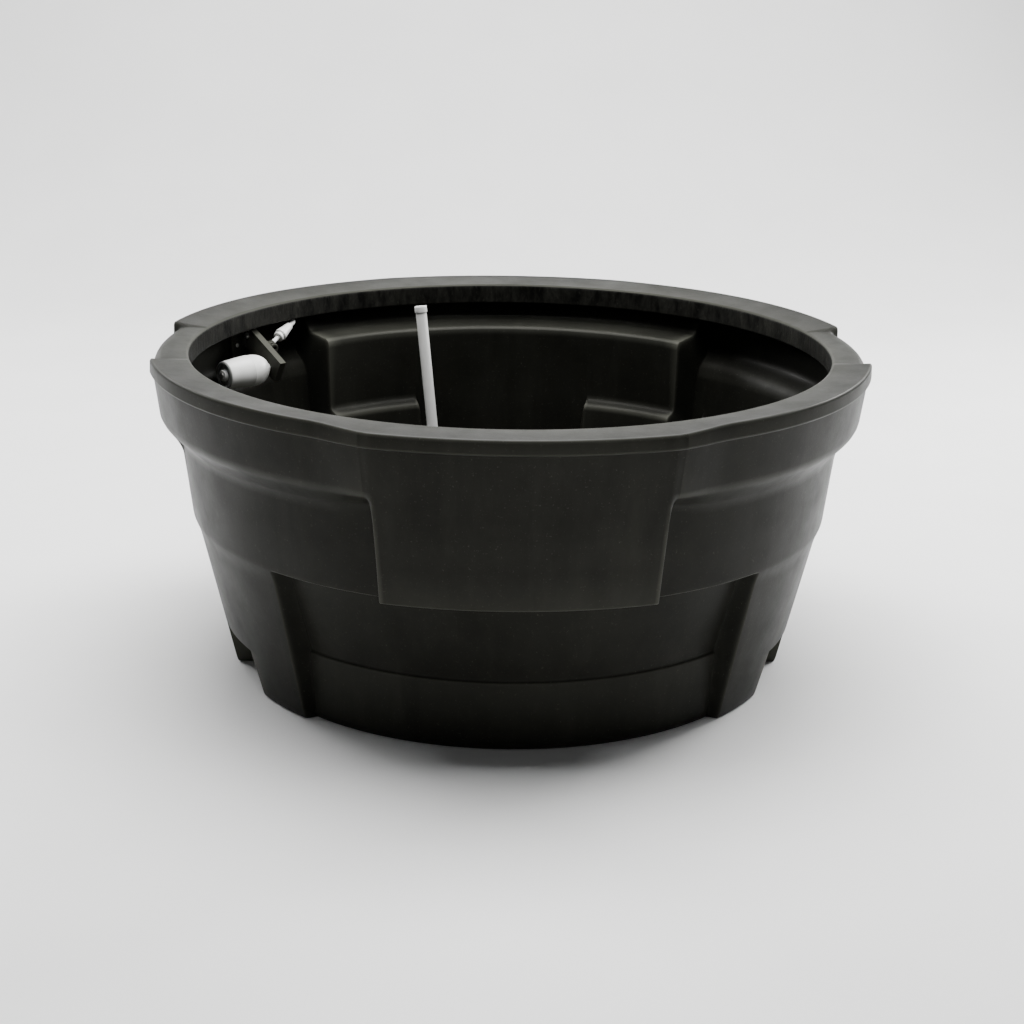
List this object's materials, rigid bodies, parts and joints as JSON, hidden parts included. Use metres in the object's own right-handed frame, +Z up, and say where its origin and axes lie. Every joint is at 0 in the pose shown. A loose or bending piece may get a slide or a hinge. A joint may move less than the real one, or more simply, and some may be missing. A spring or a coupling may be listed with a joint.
{
  "type": "livestock water trough",
  "caption": "Round moulded black plastic trough with fork channels, an inlet valve with a white float, an upright white overflow pipe and a capped floor drain.",
  "frame": {"origin": "centre of the trough's footprint on the ground, on the axis of the round opening", "axes": "+Z up, +Y from the front apron to the back apron, +X to the right seen from the front, along the fork channels"},
  "size_m": [1.33, 1.382, 0.607],
  "materials": {
    "black_plastic": "satin moulded polyethylene, faintly mottled",
    "white_plastic": "smooth white plastic",
    "grey_plastic": "satin grey plastic",
    "rubber": "matt black rubber",
    "steel": "plain stainless fasteners",
    "brass": "turned brass"
  },
  "bodies": {
    "tub": {"tub_shell": "black_plastic", "drain_body": "black_plastic", "drain_gasket": "rubber", "drain_nut": "black_plastic", "outlet_elbow": "grey_plastic", "outlet_gasket": "rubber", "standpipe_seal": "rubber", "valve_bracket": "black_plastic", "bracket_screw_0": "steel", "bracket_screw_1": "steel", "bracket_nut_0": "steel", "bracket_nut_1": "steel", "pivot_pin": "steel", "valve_body": "black_plastic", "seat_nozzle": "black_plastic", "inlet_stem": "white_plastic", "inlet_union": "white_plastic", "supply_elbow": "white_plastic", "supply_grommet": "rubber"},
    "float_arm": {"float_lever": "black_plastic", "float": "white_plastic", "float_ring": "grey_plastic", "float_axle": "steel", "float_nut": "steel"},
    "plunger": {"plunger": "brass", "plunger_seal": "rubber"},
    "standpipe": {"standpipe": "white_plastic", "standpipe_collar": "white_plastic"},
    "drain_cap": {"drain_cap": "black_plastic"}
  },
  "joints": [
    {"name": "lever_hinge", "type": "hinge", "parent": "tub", "child": "float_arm", "pos_m": [-0.5255, 0.343, 0.54], "axis": [-0.7513, -0.66, 0], "range_deg": [0, 28]},
    {"name": "plunger_slide", "type": "slide", "parent": "tub", "child": "plunger", "axis": [0.66, -0.7513, 0], "range_m": [0, 0.0078]},
    {"name": "standpipe_lift", "type": "slide", "parent": "tub", "child": "standpipe", "axis": [-0.0996, 0.084, 0.9915], "range_m": [0, 0.12]},
    {"name": "cap_pull", "type": "slide", "parent": "tub", "child": "drain_cap", "axis": [-0.2881, 0.9576, 0], "range_m": [0, 0.04]}
  ],
  "couplings": [
    {"joint": "plunger_slide", "follows": "lever_hinge", "m_per_rad": 0.015838}
  ]
}
